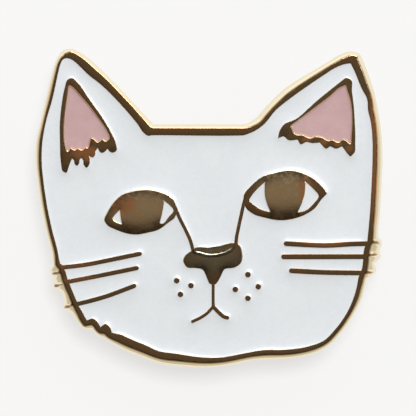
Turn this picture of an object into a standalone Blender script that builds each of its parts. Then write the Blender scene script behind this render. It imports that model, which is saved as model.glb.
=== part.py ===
"""A cat-face pin: a struck metal plate with enamel cells, two needle posts and two butterfly clutches.

The origin is the centre of the plate's back face, midway between the posts. +Z points out of the
enamelled front, +Y towards the ears and +X to the right of someone who looks at the front.
Lengths are in millimetres until an object is made, which scales them by MM.
The artwork is drawn at DRAWN_WIDTH by DRAWN_HEIGHT and stretched to HEAD_WIDTH by HEAD_HEIGHT.
"""

import math

import bmesh
import bpy
from mathutils import Matrix, Vector
from mathutils.geometry import interpolate_bezier

MM = 0.001

# Head plate
HEAD_WIDTH = 31.75
HEAD_HEIGHT = 29.15
PLATE_THICKNESS = 1.5
CELL_DEPTH = 0.6  # from the line tops down to a cell's floor
ENAMEL_SINK = 0.28  # from the line tops down to the enamel
BRIDGE_LINE = 0.32
MOUTH_LINE = 0.28
MOUTH_WIDE_LINE = 0.36
LEFT_WHISKER_LINE = 0.4
RIGHT_WHISKER_LINE = 0.46
DOT_DIAMETER = 0.52

# Needle posts
POST_SPACING = 16.0
NEEDLE_RADIUS = 0.5
NEEDLE_LENGTH = 8.0  # from the plate's back to the tip
NEEDLE_TIP_LENGTH = 1.1
NEEDLE_TIP_RADIUS = 0.06
GROOVE_DISTANCE = 6.0  # from the plate's back
GROOVE_WIDTH = 0.45
GROOVE_DEPTH = 0.12
HEAD_DISC_RADIUS = 1.3
HEAD_DISC_THICKNESS = 0.35
SOLDER_WIDTH = 0.6

# Butterfly clutches
CLUTCH_DISTANCE = 2.3  # from the plate's back to the clutch, with cloth between them
FLANGE_RADIUS = 5.75
SHEET = 0.35
RIM_LIP = 1.0  # how far the rolled rim reaches in under the disc
EDGE_CHAMFER = 0.1
CAP_RADIUS = 3.15
CAP_RISE = 2.3  # from the flange's outer face to the cap's
CAP_CHAMFER = 0.25
SHELL_HOLE_CLEARANCE = 0.25
DISC_HOLE_CLEARANCE = 0.4
NIB_COUNT = 3
NIB_CIRCLE_RADIUS = 3.4
NIB_RADIUS = 0.32
NIB_HEIGHT = 0.45

# Spring clip wings
WING_SHEET = 0.4
WING_NECK_WIDTH = 4.0
WING_PAD_WIDTH = 5.2
WING_RISE = 4.9  # from the flange's outer face to the wing's end
WING_REACH = 2.25  # from the cap's wall to the wing's end
WING_CORNER = 0.9
JAW_RISE = 0.65  # from the flange's outer face to the middle of the jaw's sheet
JAW_EDGE = 0.15  # from the needle's axis to the jaw's edge
JAW_NOTCH_CLEARANCE = 0.12
WINDOW_CLEARANCE = 0.1
WINDOW_SILL = 0.2  # from the flange's outer face to the window
WINDOW_RISE = 1.55  # from the flange's outer face to the window's top edge
FULCRUM_RISE = 1.1  # from the flange's outer face to the axis that a wing turns on

FIT_GAP = 0.03  # between pieces that touch on the real pin
FLANGE_FACE = 3 * SHEET + 2 * FIT_GAP  # from the cloth side to the flange's outer face
FULCRUM_OUT = CAP_RADIUS - SHEET / 2
CUT_MARGIN = 0.5  # how far a cutter runs past what it cuts
OUTLINE_TOLERANCE = 0.012
ROUND_STEPS = 32
NEEDLE_STEPS = 20

DRAWN_WIDTH = 31.75
DRAWN_HEIGHT = 29.15

# Outlines, drawn from the head's centre. Each row is one smooth stretch, and rows meet in corners.
HEAD_OUTLINE = [
    [(-14.2, -5.3), (-14.4, -4.0), (-14.9, -2.0), (-15.3, 0.0), (-15.6, 2.0), (-15.85, 4.4), (-15.8, 6.0),
     (-15.35, 8.0), (-14.9, 10.0), (-14.4, 12.0), (-13.95, 13.5), (-13.4, 14.3), (-12.6, 14.5),
     (-11.7, 14.1), (-9.7, 12.45), (-7.7, 10.4), (-5.1, 7.6)],
    [(-5.1, 7.6), (2.0, 7.6)],
    [(2.0, 7.6), (3.5, 7.7), (4.2, 8.1), (5.0, 9.0), (6.0, 10.05), (7.0, 10.95), (9.0, 12.2), (11.0, 13.4),
     (12.0, 14.0), (13.0, 14.25), (13.65, 14.1), (14.15, 13.2), (14.8, 11.5), (15.05, 10.75), (15.25, 9.85),
     (15.6, 8.0), (15.8, 6.0), (15.85, 4.5), (15.75, 2.0), (15.65, 0.0), (15.45, -2.6)],
    [(15.45, -2.6), (15.78, -3.1), (15.6, -4.0)],
    [(15.6, -4.0), (15.7, -4.4), (15.1, -5.1)],
    [(15.1, -5.1), (15.25, -5.8), (14.4, -6.5)],
    [(14.4, -6.5), (14.0, -8.2), (13.0, -10.1), (12.0, -11.5), (11.0, -12.55), (10.0, -13.15), (8.0, -13.7),
     (6.0, -13.85), (4.0, -13.95), (2.0, -14.35), (0.0, -14.6), (-2.0, -14.55), (-4.0, -14.35),
     (-6.0, -13.7), (-8.0, -12.87), (-9.5, -11.97)],
    [(-9.5, -11.97), (-9.95, -11.77), (-10.65, -11.12)],
    [(-10.65, -11.12), (-11.3, -11.1), (-12.0, -10.4), (-12.6, -9.6)],
    [(-12.6, -9.6), (-13.2, -9.3), (-13.25, -8.5)],
    [(-13.25, -8.5), (-13.4, -7.75), (-14.05, -7.45), (-14.15, -6.9)],
    [(-14.15, -6.9), (-14.25, -6.6), (-14.2, -6.3)],
    [(-14.2, -6.3), (-14.55, -5.75), (-14.2, -5.3)],
]
FACE_CELL = [
    [(-13.6, -5.0), (-13.8, -4.0), (-14.32, -2.0), (-14.74, 0.0), (-15.05, 2.0), (-15.27, 4.5), (-15.2, 6.0),
     (-14.84, 8.0), (-14.27, 10.0), (-13.83, 12.0), (-13.58, 13.0), (-13.3, 13.55), (-13.0, 13.65),
     (-12.5, 13.5), (-12.0, 13.1), (-11.0, 12.13), (-10.0, 11.35), (-8.0, 9.37), (-6.5, 7.6), (-5.9, 6.78),
     (-5.5, 6.56), (-5.2, 6.62)],
    [(-5.2, 6.62), (3.0, 6.6)],
    [(3.0, 6.6), (4.0, 6.92), (5.0, 7.6), (6.0, 8.8), (8.0, 10.4), (10.0, 11.77), (12.0, 12.98),
     (12.45, 13.12), (12.92, 13.18)],
    [(12.92, 13.18), (13.15, 12.75), (13.6, 11.7), (13.95, 10.85), (14.4, 10.0), (14.53, 8.8),
     (14.73, 8.0), (14.92, 6.0), (14.91, 4.0), (14.82, 2.0), (14.72, 0.0), (14.55, -2.0), (14.45, -3.0)],
    [(14.45, -3.0), (14.2, -3.6), (14.05, -4.9), (13.95, -5.6), (13.65, -6.3), (13.53, -7.0), (12.92, -8.9),
     (12.45, -9.8), (11.5, -11.1), (10.5, -12.1), (9.0, -12.65), (7.0, -12.94), (5.0, -12.97), (3.0, -13.32),
     (1.0, -13.66), (-1.0, -13.6), (-3.0, -13.3), (-4.5, -13.08), (-6.0, -12.43), (-7.0, -12.03),
     (-8.2, -11.52), (-8.85, -11.4)],
    [(-8.85, -11.4), (-9.12, -10.8), (-9.4, -10.6), (-9.9, -10.88)],
    [(-9.9, -10.88), (-10.15, -10.45), (-10.55, -10.1), (-11.15, -10.27)],
    [(-11.15, -10.27), (-11.45, -9.7), (-11.85, -9.0), (-12.3, -8.0), (-12.9, -6.5), (-13.4, -5.2),
     (-13.6, -5.0)],
]
LEFT_EAR_RIM = [
    [(-9.25, 5.4), (-9.1, 5.15), (-8.8, 5.03), (-8.45, 5.2), (-8.5, 5.85), (-9.0, 7.0), (-10.0, 8.65),
     (-11.0, 10.05), (-12.0, 11.45), (-12.5, 11.85), (-12.9, 11.7), (-13.15, 11.0), (-13.5, 9.0),
     (-13.6, 8.0), (-13.6, 6.0), (-13.5, 4.1), (-13.3, 3.3), (-13.05, 3.2), (-12.8, 3.75), (-12.5, 4.5)],
    [(-12.5, 4.5), (-12.33, 4.35), (-12.28, 4.05), (-12.06, 3.84), (-11.85, 4.05), (-11.8, 4.4),
     (-11.65, 4.55)],
    [(-11.65, 4.55), (-11.5, 4.35), (-11.43, 3.92), (-11.17, 3.66), (-10.93, 3.95), (-10.9, 4.7)],
    [(-10.9, 4.7), (-10.65, 4.58), (-10.4, 4.8), (-10.35, 5.2), (-10.15, 5.45)],
    [(-10.15, 5.45), (-10.0, 5.15), (-9.75, 5.0), (-9.5, 5.13), (-9.25, 5.4)],
]
RIGHT_EAR_RIM = [
    [(6.3, 6.35), (6.4, 6.9), (6.8, 7.57), (8.0, 8.15), (9.0, 9.0), (10.0, 9.9), (11.0, 10.7),
     (12.0, 11.5), (12.6, 11.87), (12.95, 11.7), (13.05, 10.7), (13.2, 9.5), (13.3, 8.0), (13.35, 6.0),
     (13.25, 5.0), (12.9, 4.7), (12.6, 5.0), (12.15, 5.6)],
    [(12.15, 5.6), (11.6, 5.4), (11.05, 5.62)],
    [(11.05, 5.62), (10.75, 5.4), (10.1, 5.95)],
    [(10.1, 5.95), (9.4, 5.9), (8.9, 6.0), (8.35, 5.8), (8.1, 6.22)],
    [(8.1, 6.22), (7.2, 6.2), (6.85, 6.5), (6.3, 6.35)],
]
LEFT_EAR_CELL = [
    [(-12.75, 11.15), (-12.5, 11.0), (-12.0, 10.45), (-11.0, 9.3), (-10.0, 7.95), (-9.3, 6.85),
     (-9.15, 6.35), (-9.4, 6.15), (-9.7, 6.35)],
    [(-9.7, 6.35), (-10.15, 6.05), (-10.5, 6.37), (-10.85, 6.4)],
    [(-10.85, 6.4), (-10.95, 5.95), (-11.12, 5.53), (-11.25, 5.6)],
    [(-11.25, 5.6), (-11.6, 5.35), (-11.9, 5.5)],
    [(-11.9, 5.5), (-12.25, 5.35), (-12.65, 5.6)],
    [(-12.65, 5.6), (-12.87, 5.22), (-13.0, 5.5), (-13.2, 7.0), (-13.15, 8.0), (-13.05, 9.0),
     (-12.9, 10.1), (-12.75, 11.15)],
]
RIGHT_EAR_CELL = [
    [(7.55, 7.5), (8.0, 7.85), (9.0, 8.6), (10.0, 9.35), (11.0, 10.1), (12.0, 10.95), (12.45, 11.15)],
    [(12.45, 11.15), (12.6, 10.6), (12.8, 10.0), (13.0, 8.5), (13.0, 7.5), (12.9, 5.9)],
    [(12.9, 5.9), (12.3, 6.3), (11.8, 6.05), (11.3, 6.3)],
    [(11.3, 6.3), (10.95, 6.2), (10.3, 6.5), (9.8, 6.57)],
    [(9.8, 6.57), (9.2, 6.45), (8.6, 6.7), (7.9, 6.78), (7.55, 7.5)],
]
LEFT_EYE = [
    [(-9.57, -1.15), (-9.3, -0.4), (-8.7, 0.5), (-8.0, 1.15), (-7.0, 1.5), (-5.5, 1.65), (-4.5, 1.45),
     (-3.7, 1.1), (-3.2, 0.6), (-2.95, -0.2), (-3.1, -0.85), (-3.7, -1.35), (-4.7, -2.05), (-5.5, -2.25),
     (-6.6, -2.45), (-7.5, -2.35), (-8.5, -2.0), (-9.3, -1.6), (-9.57, -1.15)],
]
LEFT_EYE_LEFT_WHITE = [
    [(-8.15, -0.2), (-8.5, -0.6), (-8.77, -0.95), (-8.3, -1.35), (-7.95, -1.48)],
    [(-7.95, -1.48), (-8.07, -0.9), (-8.15, -0.2)],
]
LEFT_EYE_RIGHT_WHITE = [
    [(-4.07, 0.63), (-3.5, 0.15), (-3.25, -0.2), (-3.7, -0.85), (-4.2, -1.4), (-4.5, -1.4)],
    [(-4.5, -1.4), (-4.25, -0.4), (-4.07, 0.63)],
]
RIGHT_EYE = [
    [(3.1, 0.6), (3.2, 1.2), (3.9, 2.05), (4.8, 2.8), (6.0, 3.2), (7.5, 3.42), (8.5, 3.2), (9.5, 2.7),
     (10.3, 2.0), (10.78, 1.3)],
    [(10.78, 1.3), (10.3, 0.8), (9.7, 0.0), (8.5, -0.75), (7.5, -1.05), (6.5, -1.15), (5.0, -0.88),
     (4.1, -0.6), (3.4, -0.05), (3.1, 0.6)],
]
RIGHT_EYE_LEFT_WHITE = [
    [(5.1, 2.35), (4.6, 1.9), (3.9, 1.1), (3.68, 0.65), (4.0, 0.35), (4.7, -0.13), (5.6, -0.38)],
    [(5.6, -0.38), (5.3, 0.4), (5.1, 1.2), (5.1, 2.35)],
]
RIGHT_EYE_RIGHT_WHITE = [
    [(8.82, 2.4), (9.4, 1.8), (10.0, 1.05), (9.5, 0.35), (8.9, -0.2), (8.1, -0.4)],
    [(8.1, -0.4), (8.5, 0.5), (8.75, 1.4), (8.82, 2.4)],
]
NOSE = [
    [(-1.65, -3.95), (-1.25, -3.65), (0.0, -3.6), (1.0, -3.45), (2.3, -3.2), (2.65, -3.3), (3.05, -4.2),
     (2.95, -5.0), (2.4, -5.43), (1.4, -5.65), (1.1, -6.2), (0.5, -7.0), (0.1, -6.95), (-0.2, -6.4),
     (-0.6, -5.65), (-1.3, -5.5), (-2.0, -5.45), (-2.37, -4.75), (-2.15, -4.3), (-1.65, -3.95)],
]
LEFT_BRIDGE = [(-3.4, 0.7), (-3.08, 0.0), (-2.75, -0.8), (-2.15, -2.0), (-1.7, -3.0), (-1.43, -4.0)]
RIGHT_BRIDGE = [(3.45, 1.2), (3.2, 0.5), (3.07, -0.1), (2.88, -1.0), (2.48, -3.0), (2.45, -3.4)]
MOUTH_STEM = [(0.38, -6.8), (0.38, -9.05)]
MOUTH_LEFT = [(0.38, -9.02), (-0.2, -9.65), (-1.0, -10.15), (-1.5, -10.38)]
MOUTH_RIGHT = [(0.38, -9.02), (0.95, -9.6), (1.35, -9.93), (1.67, -10.03)]
DOTS = [(-2.95, -6.65), (-1.65, -7.1), (-2.6, -7.9), (3.55, -6.1), (2.4, -7.45), (4.5, -7.2), (3.55, -8.25)]
# A whisker's outer end is buried in the border.
LEFT_WHISKERS = [
    [(-13.9, -5.5), (-11.0, -5.15), (-9.0, -4.75), (-6.32, -4.2)],
    [(-13.4, -6.85), (-10.0, -6.2), (-6.6, -5.5)],
    [(-12.6, -8.93), (-9.5, -8.12), (-6.83, -7.13)],
]
RIGHT_WHISKERS = [
    [(14.9, -3.25), (13.0, -3.3), (11.0, -3.42), (7.05, -3.27)],
    [(14.7, -4.45), (6.82, -4.47)],
    [(14.4, -5.95), (10.0, -5.87), (7.53, -5.74)],
]


def remove_everything():
    for obj in list(bpy.data.objects):
        bpy.data.objects.remove(obj, do_unlink=True)


def make_material(name, color, metallic, roughness):
    material = bpy.data.materials.new(name)
    material.use_nodes = True
    shader = material.node_tree.nodes["Principled BSDF"]
    shader.inputs["Base Color"].default_value = (*color, 1.0)
    shader.inputs["Metallic"].default_value = metallic
    shader.inputs["Roughness"].default_value = roughness
    return material


def object_from_bmesh(name, bm, material, smooth_angle=0.5):
    """A named object from a mesh in millimetres, with its faces turned outwards."""
    bmesh.ops.recalc_face_normals(bm, faces=bm.faces)
    bmesh.ops.transform(bm, matrix=Matrix.Scale(MM, 4), verts=bm.verts)
    mesh = bpy.data.meshes.new(name)
    bm.to_mesh(mesh)
    bm.free()
    mesh.materials.append(material)
    mesh.shade_smooth()
    mesh.set_sharp_from_angle(angle=smooth_angle)
    obj = bpy.data.objects.new(name, mesh)
    bpy.context.scene.collection.objects.link(obj)
    return obj


def make_cutter(obj):
    obj.hide_render = True
    obj.display_type = "WIRE"
    return obj


def subtract(obj, cutter):
    modifier = obj.modifiers.new("cut_" + cutter.name, "BOOLEAN")
    modifier.operation = "DIFFERENCE"
    modifier.object = cutter


# Curves


def smooth_points(knots, steps=8):
    """Points along a smooth curve through the knots, with its speed following their spacing."""
    knots = [Vector(knot) for knot in knots]
    gaps = [(after - before).length for before, after in zip(knots, knots[1:])]
    slopes = [(after - before) / gap for before, after, gap in zip(knots, knots[1:], gaps)]
    tangents = [slopes[0]]
    for slope_in, slope_out, gap_in, gap_out in zip(slopes, slopes[1:], gaps, gaps[1:]):
        tangents.append((slope_out * gap_in + slope_in * gap_out) / (gap_in + gap_out))
    tangents.append(slopes[-1])
    if (knots[0] - knots[-1]).length < OUTLINE_TOLERANCE:
        seam = (slopes[0] * gaps[-1] + slopes[-1] * gaps[0]) / (gaps[0] + gaps[-1])
        tangents[0] = seam
        tangents[-1] = seam
    points = []
    for i, gap in enumerate(gaps):
        handle_out = knots[i] + tangents[i] * gap / 3
        handle_in = knots[i + 1] - tangents[i + 1] * gap / 3
        stretch = interpolate_bezier(knots[i], handle_out, handle_in, knots[i + 1], steps + 1)
        points.extend(point.to_2d() for point in stretch[:-1])
    points.append(knots[-1])
    return points


def thinned(points):
    """The fewest of these points that keep the curve within OUTLINE_TOLERANCE."""
    first, last = points[0], points[-1]
    chord = last - first
    if len(points) < 3:
        return points
    if chord.length < OUTLINE_TOLERANCE:
        distances = [(point - first).length for point in points]
    else:
        distances = [abs(chord.cross(point - first)) / chord.length for point in points]
    farthest = max(range(len(points)), key=distances.__getitem__)
    if distances[farthest] < OUTLINE_TOLERANCE:
        return [first, last]
    return thinned(points[: farthest + 1])[:-1] + thinned(points[farthest:])


def drawn(point):
    """A point of the artwork at the head's real size."""
    return (point[0] * HEAD_WIDTH / DRAWN_WIDTH, point[1] * HEAD_HEIGHT / DRAWN_HEIGHT)


def outline(runs):
    """The closed outline of smooth runs that meet in corners, anticlockwise."""
    loop = []
    for run in runs:
        loop.extend(thinned(smooth_points([drawn(knot) for knot in run]))[:-1])
    area = sum(point.cross(loop[i - 1]) for i, point in enumerate(loop))
    return loop if area < 0 else loop[::-1]


def grown(loop, distance):
    """An anticlockwise loop with its sides moved outwards by distance, or inwards if it is negative."""
    moved = []
    for i, point in enumerate(loop):
        side_in = (point - loop[i - 1]).normalized()
        side_out = (loop[(i + 1) % len(loop)] - point).normalized()
        normal_in = Vector((side_in.y, -side_in.x))
        normal_out = Vector((side_out.y, -side_out.x))
        middle = (normal_in + normal_out).normalized()
        moved.append(point + middle * distance / max(middle.dot(normal_in), 0.5))
    return moved


def stroke(knots, width, cap_steps=5):
    """The outline of a line of this width along the knots, with round ends."""
    path = thinned(smooth_points([drawn(knot) for knot in knots]))
    directions = [(after - before).normalized() for before, after in zip(path, path[1:])]
    sides = [directions[0]]
    for before, after in zip(directions, directions[1:]):
        sides.append((before + after).normalized())
    sides.append(directions[-1])
    right = [point + Vector((side.y, -side.x)) * width / 2 for point, side in zip(path, sides)]
    left = [point - Vector((side.y, -side.x)) * width / 2 for point, side in zip(path, sides)]
    return (
        right
        + round_cap(path[-1], directions[-1], width / 2, cap_steps)
        + left[::-1]
        + round_cap(path[0], -directions[0], width / 2, cap_steps)
    )


def round_cap(centre, direction, radius, steps):
    """The points between a stroke's two sides, round the end that direction points to."""
    start = math.atan2(direction.y, direction.x) - math.pi / 2
    angles = [start + math.pi * step / steps for step in range(1, steps)]
    return [centre + Vector((math.cos(angle), math.sin(angle))) * radius for angle in angles]


def circle(centre, radius, steps):
    angles = [2 * math.pi * step / steps for step in range(steps)]
    centre = Vector(centre)
    return [centre + Vector((math.cos(angle), math.sin(angle))) * radius for angle in angles]


# Solids


def prism(name, loop, low, high, material):
    """A solid with this anticlockwise outline between two heights."""
    bm = bmesh.new()
    bottom = [bm.verts.new((x, y, low)) for x, y in loop]
    face = bm.faces.new(bottom[::-1])
    walls = bmesh.ops.extrude_face_region(bm, geom=[face])
    top = [item for item in walls["geom"] if isinstance(item, bmesh.types.BMVert)]
    bmesh.ops.translate(bm, vec=(0, 0, high - low), verts=top)
    return object_from_bmesh(name, bm, material)


def turned(name, profile, steps, material):
    """A solid of revolution from a closed profile of (radius, height) points."""
    bm = bmesh.new()
    corners = [bm.verts.new((radius, 0, height)) for radius, height in profile]
    edges = [bm.edges.new((corners[i - 1], corner)) for i, corner in enumerate(corners)]
    edges = [edge for edge in edges if any(vert.co.x > 0 for vert in edge.verts)]
    bmesh.ops.spin(
        bm,
        geom=corners + edges,
        cent=(0, 0, 0),
        axis=(0, 0, 1),
        angle=2 * math.pi,
        steps=steps,
        use_merge=True,
    )
    bmesh.ops.remove_doubles(bm, verts=bm.verts, dist=0.0001)
    for edge in [edge for edge in bm.edges if not edge.link_faces]:
        bm.edges.remove(edge)
    return object_from_bmesh(name, bm, material)


# Head


def line_islands():
    """Name and outline of everything raised inside the face cell."""
    islands = [
        ("left_ear", outline(LEFT_EAR_RIM)),
        ("right_ear", outline(RIGHT_EAR_RIM)),
        ("left_eye", outline(LEFT_EYE)),
        ("right_eye", outline(RIGHT_EYE)),
        ("nose", outline(NOSE)),
        ("left_bridge", stroke(LEFT_BRIDGE, BRIDGE_LINE)),
        ("right_bridge", stroke(RIGHT_BRIDGE, BRIDGE_LINE)),
        ("mouth_stem", stroke(MOUTH_STEM, MOUTH_LINE)),
        ("mouth_left", stroke(MOUTH_LEFT, MOUTH_LINE)),
        ("mouth_right", stroke(MOUTH_RIGHT, MOUTH_WIDE_LINE)),
    ]
    for i, whisker in enumerate(LEFT_WHISKERS):
        islands.append((f"left_whisker_{i}", stroke(whisker, LEFT_WHISKER_LINE)))
    for i, whisker in enumerate(RIGHT_WHISKERS):
        islands.append((f"right_whisker_{i}", stroke(whisker, RIGHT_WHISKER_LINE)))
    for i, dot in enumerate(DOTS):
        islands.append((f"dot_{i}", circle(drawn(dot), DOT_DIAMETER / 2, 12)))
    return islands


def cell_solid(name, loop, islands, gap, low, high, material):
    """What fills a cell between two heights, gap clear of the cell's wall and of the islands in it."""
    solid = prism(name, grown(loop, -gap), low, high, material)
    for label, island in islands:
        inner = prism(f"{name}_{label}", grown(island, gap), low - CUT_MARGIN, high + CUT_MARGIN, material)
        subtract(solid, make_cutter(inner))
    return solid


def build_head(metal, white, pink):
    plate = prism("base_plate", outline(HEAD_OUTLINE), 0, PLATE_THICKNESS, metal)
    floor = PLATE_THICKNESS - CELL_DEPTH
    fill = PLATE_THICKNESS - ENAMEL_SINK
    above = PLATE_THICKNESS + CUT_MARGIN / 2
    cells = [
        ("enamel_face", FACE_CELL, line_islands(), white),
        ("enamel_white_left_eye_outer", LEFT_EYE_LEFT_WHITE, [], white),
        ("enamel_white_left_eye_inner", LEFT_EYE_RIGHT_WHITE, [], white),
        ("enamel_white_right_eye_inner", RIGHT_EYE_LEFT_WHITE, [], white),
        ("enamel_white_right_eye_outer", RIGHT_EYE_RIGHT_WHITE, [], white),
        ("enamel_pink_left_ear", LEFT_EAR_CELL, [], pink),
        ("enamel_pink_right_ear", RIGHT_EAR_CELL, [], pink),
    ]
    for name, runs, islands, enamel in cells:
        cell = cell_solid(f"{name}_cell", outline(runs), islands, 0, floor, above, metal)
        subtract(plate, make_cutter(cell))
        cell_solid(name, outline(runs), islands, FIT_GAP, floor + FIT_GAP, fill, enamel)


# Posts


def build_post(side, x, metal, solder_metal):
    top = -FIT_GAP
    neck = top - HEAD_DISC_THICKNESS
    groove = -GROOVE_DISTANCE
    cone = -NEEDLE_LENGTH + NEEDLE_TIP_LENGTH
    needle = [
        (0, top),
        (0, -NEEDLE_LENGTH),
        (NEEDLE_TIP_RADIUS, -NEEDLE_LENGTH),
        (NEEDLE_RADIUS, cone),
        (NEEDLE_RADIUS, groove - GROOVE_WIDTH),
        (NEEDLE_RADIUS - GROOVE_DEPTH, groove - GROOVE_WIDTH + GROOVE_DEPTH),
        (NEEDLE_RADIUS - GROOVE_DEPTH, groove - GROOVE_DEPTH),
        (NEEDLE_RADIUS, groove),
        (NEEDLE_RADIUS, neck),
        (HEAD_DISC_RADIUS, neck),
        (HEAD_DISC_RADIUS, top),
    ]
    post = turned(f"post_{side}", needle, NEEDLE_STEPS, metal)
    inner = HEAD_DISC_RADIUS + FIT_GAP
    outer = inner + SOLDER_WIDTH
    ring = [
        (inner, top),
        (inner, neck),
        (inner + SOLDER_WIDTH * 0.2, neck + HEAD_DISC_THICKNESS * 0.25),
        (inner + SOLDER_WIDTH * 0.5, neck + HEAD_DISC_THICKNESS * 0.7),
        (outer, top - HEAD_DISC_THICKNESS * 0.12),
        (outer, top),
    ]
    solder = turned(f"solder_{side}", ring, NEEDLE_STEPS, solder_metal)
    for obj in (post, solder):
        obj.location.x = x * MM


# Clutches, each built round its needle's axis with the cloth side at height 0 and its cap upwards


def build_shell(side, metal):
    flange = FLANGE_FACE - SHEET
    cap = FLANGE_FACE + CAP_RISE
    wall = FLANGE_RADIUS - SHEET
    hole = NEEDLE_RADIUS + SHELL_HOLE_CLEARANCE
    profile = [
        (FLANGE_RADIUS - RIM_LIP, 0),
        (FLANGE_RADIUS - EDGE_CHAMFER, 0),
        (FLANGE_RADIUS, EDGE_CHAMFER),
        (FLANGE_RADIUS, FLANGE_FACE - EDGE_CHAMFER),
        (FLANGE_RADIUS - EDGE_CHAMFER, FLANGE_FACE),
        (CAP_RADIUS, FLANGE_FACE),
        (CAP_RADIUS, cap - CAP_CHAMFER),
        (CAP_RADIUS - CAP_CHAMFER, cap),
        (hole, cap),
        (hole, cap - SHEET),
        (CAP_RADIUS - SHEET, cap - SHEET),
        (CAP_RADIUS - SHEET, flange),
        (wall, flange),
        (wall, SHEET),
        (FLANGE_RADIUS - RIM_LIP, SHEET),
    ]
    shell = turned(f"clutch_shell_{side}", profile, ROUND_STEPS, metal)
    half = WING_NECK_WIDTH / 2 + WINDOW_CLEARANCE
    bm = bmesh.new()
    bmesh.ops.create_cube(bm, size=1)
    size = (2 * half, 2 * (CAP_RADIUS + CUT_MARGIN), WINDOW_RISE - WINDOW_SILL)
    bmesh.ops.scale(bm, vec=size, verts=bm.verts)
    middle = FLANGE_FACE + (WINDOW_RISE + WINDOW_SILL) / 2
    bmesh.ops.translate(bm, vec=(0, 0, middle), verts=bm.verts)
    windows = object_from_bmesh(f"windows_{side}", bm, metal)
    subtract(shell, make_cutter(windows))
    return [shell, windows]


def build_disc(side, metal):
    low = SHEET + FIT_GAP
    high = low + SHEET
    outer = FLANGE_RADIUS - SHEET - FIT_GAP
    hole = NEEDLE_RADIUS + DISC_HOLE_CLEARANCE
    profile = [(hole, low), (outer, low), (outer, high), (hole, high)]
    disc = turned(f"clutch_disc_{side}", profile, ROUND_STEPS, metal)
    pieces = [disc]
    for i in range(NIB_COUNT):
        angle = 2 * math.pi * (i + 0.25) / NIB_COUNT
        bm = bmesh.new()
        height = NIB_HEIGHT + SHEET / 2
        bmesh.ops.create_cone(bm, cap_ends=True, segments=10, radius1=0.03, radius2=NIB_RADIUS, depth=height)
        across = (NIB_CIRCLE_RADIUS * math.cos(angle), NIB_CIRCLE_RADIUS * math.sin(angle))
        bmesh.ops.translate(bm, vec=(*across, low - NIB_HEIGHT + height / 2), verts=bm.verts)
        nib = make_cutter(object_from_bmesh(f"nib_{side}_{i}", bm, metal))
        union = disc.modifiers.new(f"nib_{i}", "BOOLEAN")
        union.operation = "UNION"
        union.object = nib
        pieces.append(nib)
    return pieces


def wing_stations():
    """(out, height, half width) along the middle of a wing's sheet, from the jaw to the wing's end."""
    neck = WING_NECK_WIDTH / 2
    pad = WING_PAD_WIDTH / 2
    jaw = FLANGE_FACE + JAW_RISE
    outside = CAP_RADIUS + WING_SHEET / 2
    path = [
        (JAW_EDGE, jaw, neck * 0.8),
        (JAW_EDGE + 1.2, jaw, neck),
        (CAP_RADIUS - 0.25, jaw, neck),
        (outside + 0.15, jaw + 0.12, neck),
        (outside + 0.42, jaw + 0.45, neck),
        (outside + 0.5, jaw + 0.95, neck),
    ]
    end_out = CAP_RADIUS + WING_REACH
    end_height = FLANGE_FACE + WING_RISE
    bend_out, bend_height, _ = path[-1]
    for share in (0.3, 0.6, 0.85):
        out = bend_out + (end_out - bend_out) * share**1.25
        height = bend_height + (end_height - bend_height) * share
        path.append((out, height, neck + (pad - neck) * min(share / 0.6, 1)))
    last_out, last_height, _ = path[-1]
    for turn in (0.5, 0.85, 1.0):
        out = last_out + (end_out - last_out) * turn
        height = last_height + (end_height - last_height) * turn
        path.append((out, height, pad - WING_CORNER * (1 - math.sqrt(1 - turn**2))))
    return path


def build_wing(name, toward, metal):
    """One half of the spring clip, bent up from a strip. toward is 1 on the +Y side and -1 on the -Y side."""
    stations = wing_stations()
    bm = bmesh.new()
    rings = []
    for i, (out, height, half) in enumerate(stations):
        before = stations[max(i - 1, 0)]
        after = stations[min(i + 1, len(stations) - 1)]
        along = Vector((after[0] - before[0], after[1] - before[1])).normalized()
        lift = Vector((-along.y, along.x)) * WING_SHEET / 2
        upper = (toward * (out + lift.x), height + lift.y)
        lower = (toward * (out - lift.x), height - lift.y)
        corners = [(-half, *upper), (half, *upper), (half, *lower), (-half, *lower)]
        rings.append([bm.verts.new(corner) for corner in corners])
    for before, after in zip(rings, rings[1:]):
        for i in range(4):
            bm.faces.new((before[i - 1], before[i], after[i], after[i - 1]))
    bm.faces.new(rings[0])
    bm.faces.new(rings[-1])
    wing = object_from_bmesh(name, bm, metal)
    notch = prism(
        f"{name}_notch",
        circle((0, 0), NEEDLE_RADIUS + JAW_NOTCH_CLEARANCE, NEEDLE_STEPS),
        FLANGE_FACE + JAW_RISE - WING_SHEET,
        FLANGE_FACE + JAW_RISE + WING_SHEET,
        metal,
    )
    subtract(wing, make_cutter(notch))
    return [wing, notch]


def build_clutch(side, x, shell_metal, wing_metal):
    """A clutch on an empty that slides along the needle, with each wing on an empty at its fulcrum."""
    turn_over = Matrix.Rotation(math.pi, 4, "X")
    slider = bpy.data.objects.new(f"clutch_slide_{side}", None)
    bpy.context.scene.collection.objects.link(slider)
    slider.matrix_basis = Matrix.Translation((x * MM, 0, -CLUTCH_DISTANCE * MM)) @ turn_over
    for piece in build_shell(side, shell_metal) + build_disc(side, shell_metal):
        piece.parent = slider
    # Turning the clutch over sends its own +Y to the pin's -Y.
    for label, toward in (("upper", -1), ("lower", 1)):
        fulcrum = bpy.data.objects.new(f"wing_hinge_{side}_{label}", None)
        bpy.context.scene.collection.objects.link(fulcrum)
        fulcrum.parent = slider
        fulcrum.location = (0, toward * FULCRUM_OUT * MM, (FLANGE_FACE + FULCRUM_RISE) * MM)
        for piece in build_wing(f"wing_{side}_{label}", toward, wing_metal):
            piece.parent = fulcrum
            piece.location = -fulcrum.location


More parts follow.
